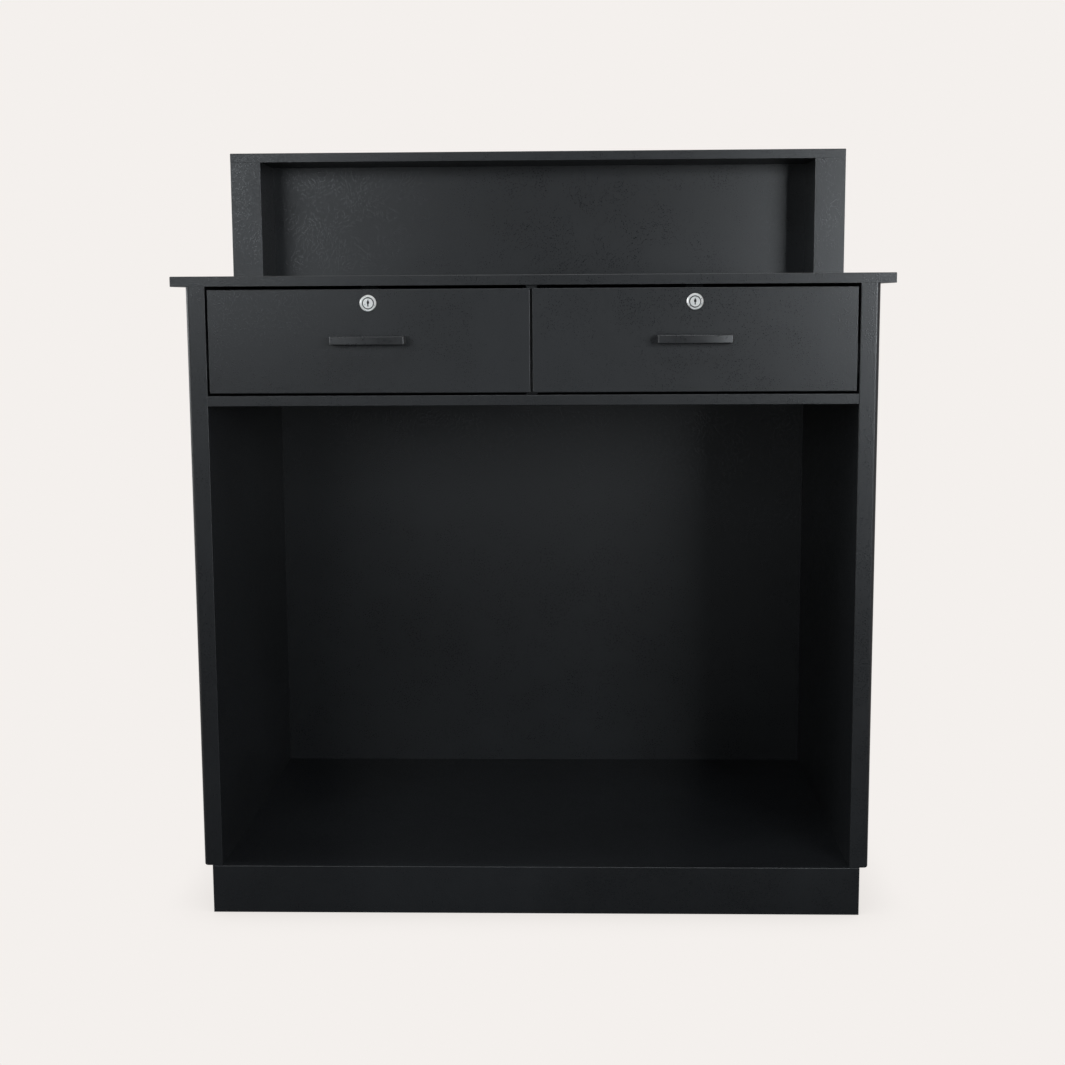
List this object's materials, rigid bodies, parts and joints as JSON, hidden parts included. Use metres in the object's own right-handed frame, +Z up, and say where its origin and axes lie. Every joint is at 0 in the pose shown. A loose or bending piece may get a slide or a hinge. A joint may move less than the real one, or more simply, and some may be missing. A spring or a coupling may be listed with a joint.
{
  "type": "checkout counter",
  "caption": "Free-standing black retail checkout counter: worktop over side-by-side lockable drawers, open lower cavity, plinth and a raised hutch with a niche.",
  "frame": {"origin": "on the floor, at the middle of the footprint's bounding box, pulls included", "axes": "+X to the right of the person behind the counter, -Y towards that person (drawer faces look along -Y), +Z up"},
  "size_m": [1, 0.626, 1.11],
  "materials": {
    "grained_black_laminate": "satin black film with a fine pebbled grain on particle board",
    "black_melamine": "matt black melamine on particle board",
    "black_pull_metal": "satin black powder coat",
    "black_oxide_steel": "dull black oxide",
    "zinc_plated_steel": "bright zinc plate",
    "nickel_plate": "satin nickel plate",
    "screw_steel": "zinc plated",
    "beech": "raw fluted beech"
  },
  "bodies": {
    "cabinet": {"back_board": "grained_black_laminate", "bottom_deck": "grained_black_laminate", "cabinet_screws": "black_oxide_steel", "carcass_screws": "screw_steel", "customer_panel": "grained_black_laminate", "drawer_divider": "grained_black_laminate", "drawer_shelf": "grained_black_laminate", "hutch_dowels": "beech", "hutch_side_left": "grained_black_laminate", "hutch_side_right": "grained_black_laminate", "ledge_top": "grained_black_laminate", "left_slide_cabinet_members": "zinc_plated_steel", "lock_keepers": "black_oxide_steel", "niche_back_board": "grained_black_laminate", "niche_side_left": "grained_black_laminate", "niche_side_right": "grained_black_laminate", "plinth_brace": "grained_black_laminate", "plinth_end_left": "grained_black_laminate", "plinth_end_right": "grained_black_laminate", "plinth_front_board": "grained_black_laminate", "plinth_rear_board": "grained_black_laminate", "right_slide_cabinet_members": "zinc_plated_steel", "side_board_left": "grained_black_laminate", "side_board_right": "grained_black_laminate", "side_cladding_left": "grained_black_laminate", "side_cladding_right": "grained_black_laminate", "stile_left": "grained_black_laminate", "stile_right": "grained_black_laminate", "worktop": "grained_black_laminate", "worktop_brackets": "black_oxide_steel"},
    "left_drawer": {"left_drawer_back": "black_melamine", "left_drawer_bottom": "black_melamine", "left_drawer_divider_side": "black_melamine", "left_drawer_front": "grained_black_laminate", "left_drawer_outer_side": "black_melamine", "left_drawer_pull": "black_pull_metal", "left_lock_barrel": "nickel_plate", "left_lock_nut": "nickel_plate", "left_pull_screws": "screw_steel", "left_slide_drawer_members": "zinc_plated_steel", "left_slide_drawer_screws": "screw_steel"},
    "right_drawer": {"right_drawer_back": "black_melamine", "right_drawer_bottom": "black_melamine", "right_drawer_divider_side": "black_melamine", "right_drawer_front": "grained_black_laminate", "right_drawer_outer_side": "black_melamine", "right_drawer_pull": "black_pull_metal", "right_lock_barrel": "nickel_plate", "right_lock_nut": "nickel_plate", "right_pull_screws": "screw_steel", "right_slide_drawer_members": "zinc_plated_steel", "right_slide_drawer_screws": "screw_steel"},
    "left_slide_middle": {"left_slide_middle_members": "zinc_plated_steel"},
    "right_slide_middle": {"right_slide_middle_members": "zinc_plated_steel"},
    "left_lock_core": {"left_lock_plug": "nickel_plate", "left_lock_cam": "zinc_plated_steel", "left_lock_cam_screw": "screw_steel"},
    "right_lock_core": {"right_lock_plug": "nickel_plate", "right_lock_cam": "zinc_plated_steel", "right_lock_cam_screw": "screw_steel"}
  },
  "joints": [
    {"name": "left_drawer_slide", "type": "slide", "parent": "cabinet", "child": "left_drawer", "axis": [0, -1, 0], "range_m": [0, 0.42]},
    {"name": "left_middle_slide", "type": "slide", "parent": "cabinet", "child": "left_slide_middle", "axis": [0, -1, 0], "range_m": [0, 0.21]},
    {"name": "left_lock_turn", "type": "hinge", "parent": "left_drawer", "child": "left_lock_core", "pos_m": [-0.22525, -0.287, 0.877], "axis": [0, -1, 0], "range_deg": [0, 90]},
    {"name": "right_drawer_slide", "type": "slide", "parent": "cabinet", "child": "right_drawer", "axis": [0, -1, 0], "range_m": [0, 0.42]},
    {"name": "right_middle_slide", "type": "slide", "parent": "cabinet", "child": "right_slide_middle", "axis": [0, -1, 0], "range_m": [0, 0.21]},
    {"name": "right_lock_turn", "type": "hinge", "parent": "right_drawer", "child": "right_lock_core", "pos_m": [0.22525, -0.287, 0.877], "axis": [0, -1, 0], "range_deg": [0, 90]}
  ],
  "couplings": [
    {"joint": "left_middle_slide", "follows": "left_drawer_slide", "ratio": 0.5},
    {"joint": "right_middle_slide", "follows": "right_drawer_slide", "ratio": 0.5}
  ]
}
